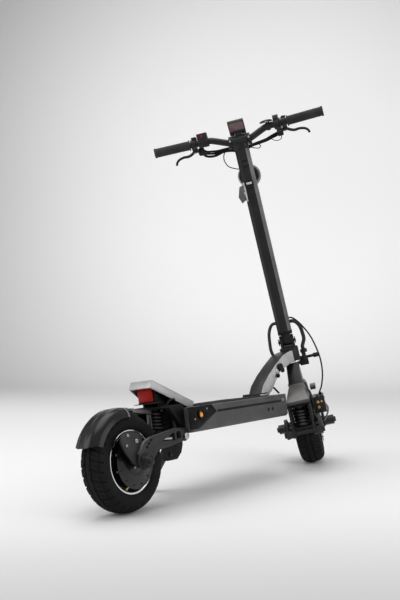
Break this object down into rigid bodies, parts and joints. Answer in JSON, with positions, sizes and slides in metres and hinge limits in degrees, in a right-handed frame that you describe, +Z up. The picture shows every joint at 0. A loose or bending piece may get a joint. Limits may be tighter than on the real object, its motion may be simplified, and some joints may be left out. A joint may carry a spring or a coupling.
{
  "type": "electric kick scooter",
  "caption": "Folding electric kick scooter with hub motors, sprung swing arms, disc brakes, a long flat deck, raised rear kickplate and side stand, parked with its bars turned.",
  "frame": {"origin": "middle of the whole box in plan, on the ground the tyres and the stand foot touch", "axes": "+X forward along the deck, +Y to the rider's left, +Z up; the scooter leans 8 degrees to the left on its stand"},
  "size_m": [1.2174, 0.557, 1.2085],
  "materials": {
    "deck_paint": "satin",
    "grip_mat": "matte",
    "tyre_rubber": "matte",
    "hand_rubber": "matte",
    "battery_wrap": "matte",
    "controller_case": "satin",
    "bare_steel": "satin",
    "gloss_black": "gloss",
    "motor_black": "gloss",
    "amber_lens": "gloss",
    "satin_black": "satin",
    "black_steel": "satin",
    "kickplate_white": "satin",
    "red_lens": "gloss",
    "neck_silver": "satin",
    "hook_steel": "satin",
    "spring_black": "satin",
    "switch_plastic": "matte",
    "bell_metal": "satin",
    "cable_rubber": "matte",
    "clear_lens": "gloss"
  },
  "bodies": {
    "frame": {"deck_shell": "deck_paint", "deck_lid": "deck_paint", "deck_mat": "grip_mat", "battery_pack": "battery_wrap", "motor_controller": "controller_case", "rear_cap_right": "gloss_black", "rear_cap_left": "gloss_black", "side_light_right": "amber_lens", "side_light_left": "amber_lens", "rear_bracket": "satin_black", "kickplate": "kickplate_white", "tail_light_lens": "red_lens", "neck": "neck_silver", "neck_cable": "cable_rubber", "rear_spring": "spring_black"},
    "kickstand": {"kickstand": "satin_black"},
    "rear_arm": {"rear_swing_arm": "deck_paint", "rear_pivot_bolt": "bare_steel", "rear_axle": "black_steel", "rear_fender": "gloss_black", "rear_caliper": "satin_black"},
    "rear_wheel": {"rear_tyre": "tyre_rubber", "rear_motor_hub": "motor_black", "rear_brake_disc": "bare_steel"},
    "steering": {"fork_crown": "satin_black", "fold_base": "satin_black", "lock_block": "satin_black", "front_fender": "gloss_black", "front_spring": "spring_black"},
    "fold_lever": {"fold_lever": "satin_black"},
    "front_arm": {"front_swing_arm": "deck_paint", "front_pivot_bolt": "bare_steel", "front_axle": "black_steel", "front_caliper": "satin_black"},
    "front_wheel": {"front_tyre": "tyre_rubber", "front_motor_hub": "motor_black", "front_brake_disc": "bare_steel"},
    "stem": {"stem_tube": "satin_black", "stem_head": "satin_black", "handlebar": "satin_black", "display_case": "gloss_black", "grip_left": "hand_rubber", "grip_right": "hand_rubber", "headlight_case": "gloss_black", "headlight_lens": "clear_lens", "throttle_pod": "switch_plastic", "switch_pod": "switch_plastic", "bell": "bell_metal", "brake_clamp_left": "switch_plastic", "brake_clamp_right": "switch_plastic", "bar_cables": "cable_rubber", "cable_bundle_right": "cable_rubber", "cable_bundle_left": "cable_rubber", "front_brake_hose": "cable_rubber"},
    "stem_hook": {"stem_hook": "hook_steel"},
    "throttle_lever": {"throttle_lever": "switch_plastic"},
    "horn_button": {"horn_button": "red_lens"},
    "bell_striker": {"bell_striker": "bare_steel"},
    "brake_lever_left": {"brake_lever_left": "satin_black"},
    "brake_lever_right": {"brake_lever_right": "satin_black"}
  },
  "joints": [
    {"name": "kickstand_fold", "type": "hinge", "parent": "frame", "child": "kickstand", "pos_m": [-0.19625, -0.04143, 0.10605], "axis": [0, 0.9897, -0.1431], "range_deg": [-105, 0]},
    {"name": "rear_suspension", "type": "hinge", "parent": "frame", "child": "rear_arm", "pos_m": [-0.29213, -0.11256, 0.17312], "axis": [0, 0.9897, -0.1431], "range_deg": [0, 6.5], "stiffness_Nm_per_rad": 400, "springref_deg": -5.16, "deforming": ["rear_spring"]},
    {"name": "rear_wheel_spin", "type": "hinge", "parent": "rear_arm", "child": "rear_wheel", "pos_m": [-0.46823, -0.11881, 0.12995], "axis": [0, 0.9897, -0.1431], "continuous": true},
    {"name": "steering_turn", "type": "hinge", "parent": "frame", "child": "steering", "pos_m": [0.44384, -0.0839, 0.37127], "axis": [-0.2038, 0.1401, 0.9689], "range_deg": [-78, 22]},
    {"name": "fold_lever_turn", "type": "hinge", "parent": "steering", "child": "fold_lever", "pos_m": [0.48921, -0.09982, 0.35937], "axis": [-0.2038, 0.1401, 0.9689], "range_deg": [0, 85]},
    {"name": "front_suspension", "type": "hinge", "parent": "steering", "child": "front_arm", "pos_m": [0.31297, -0.21663, 0.12969], "axis": [0.4622, -0.8587, 0.2214], "range_deg": [0, 6.5], "stiffness_Nm_per_rad": 400, "springref_deg": -5.16, "deforming": ["front_spring"]},
    {"name": "front_wheel_spin", "type": "hinge", "parent": "front_arm", "child": "front_wheel", "pos_m": [0.4855, -0.12396, 0.12894], "axis": [-0.4622, 0.8587, -0.2214], "continuous": true},
    {"name": "stem_fold", "type": "hinge", "parent": "steering", "child": "stem", "pos_m": [0.43386, -0.07704, 0.41874], "axis": [0.4622, -0.8587, 0.2214], "range_deg": [0, 80], "deforming": ["cable_bundle_right", "cable_bundle_left", "front_brake_hose"]},
    {"name": "stem_hook_swing", "type": "hinge", "parent": "stem", "child": "stem_hook", "pos_m": [0.29015, -0.01623, 0.95458], "axis": [-0.4622, 0.8587, -0.2214], "range_deg": [0, 60]},
    {"name": "throttle_press", "type": "hinge", "parent": "stem", "child": "throttle_lever", "pos_m": [0.34648, -0.10329, 1.1583], "axis": [0.402, -0.8864, 0.2295], "range_deg": [0, 35], "stiffness_Nm_per_rad": 0.06, "springref_deg": -34.38},
    {"name": "horn_press", "type": "slide", "parent": "stem", "child": "horn_button", "axis": [0.8631, 0.4929, 0.1102], "range_m": [0, 0.0025], "stiffness_N_per_m": 300, "springref_m": -0.002},
    {"name": "bell_flick", "type": "hinge", "parent": "stem", "child": "bell_striker", "pos_m": [0.31306, -0.07193, 1.16045], "axis": [-0.2038, 0.1401, 0.9689], "range_deg": [0, 30], "stiffness_Nm_per_rad": 0.02, "springref_deg": -17.19},
    {"name": "brake_squeeze_left", "type": "hinge", "parent": "stem", "child": "brake_lever_left", "pos_m": [0.2383, 0.17008, 1.08083], "axis": [-0.2038, 0.1401, 0.9689], "range_deg": [0, 18], "stiffness_Nm_per_rad": 1.5, "springref_deg": -17.19},
    {"name": "brake_squeeze_right", "type": "hinge", "parent": "stem", "child": "brake_lever_right", "pos_m": [0.3825, -0.09784, 1.1499], "axis": [0.2038, -0.1401, -0.9689], "range_deg": [0, 18], "stiffness_Nm_per_rad": 1.5, "springref_deg": -17.19}
  ]
}
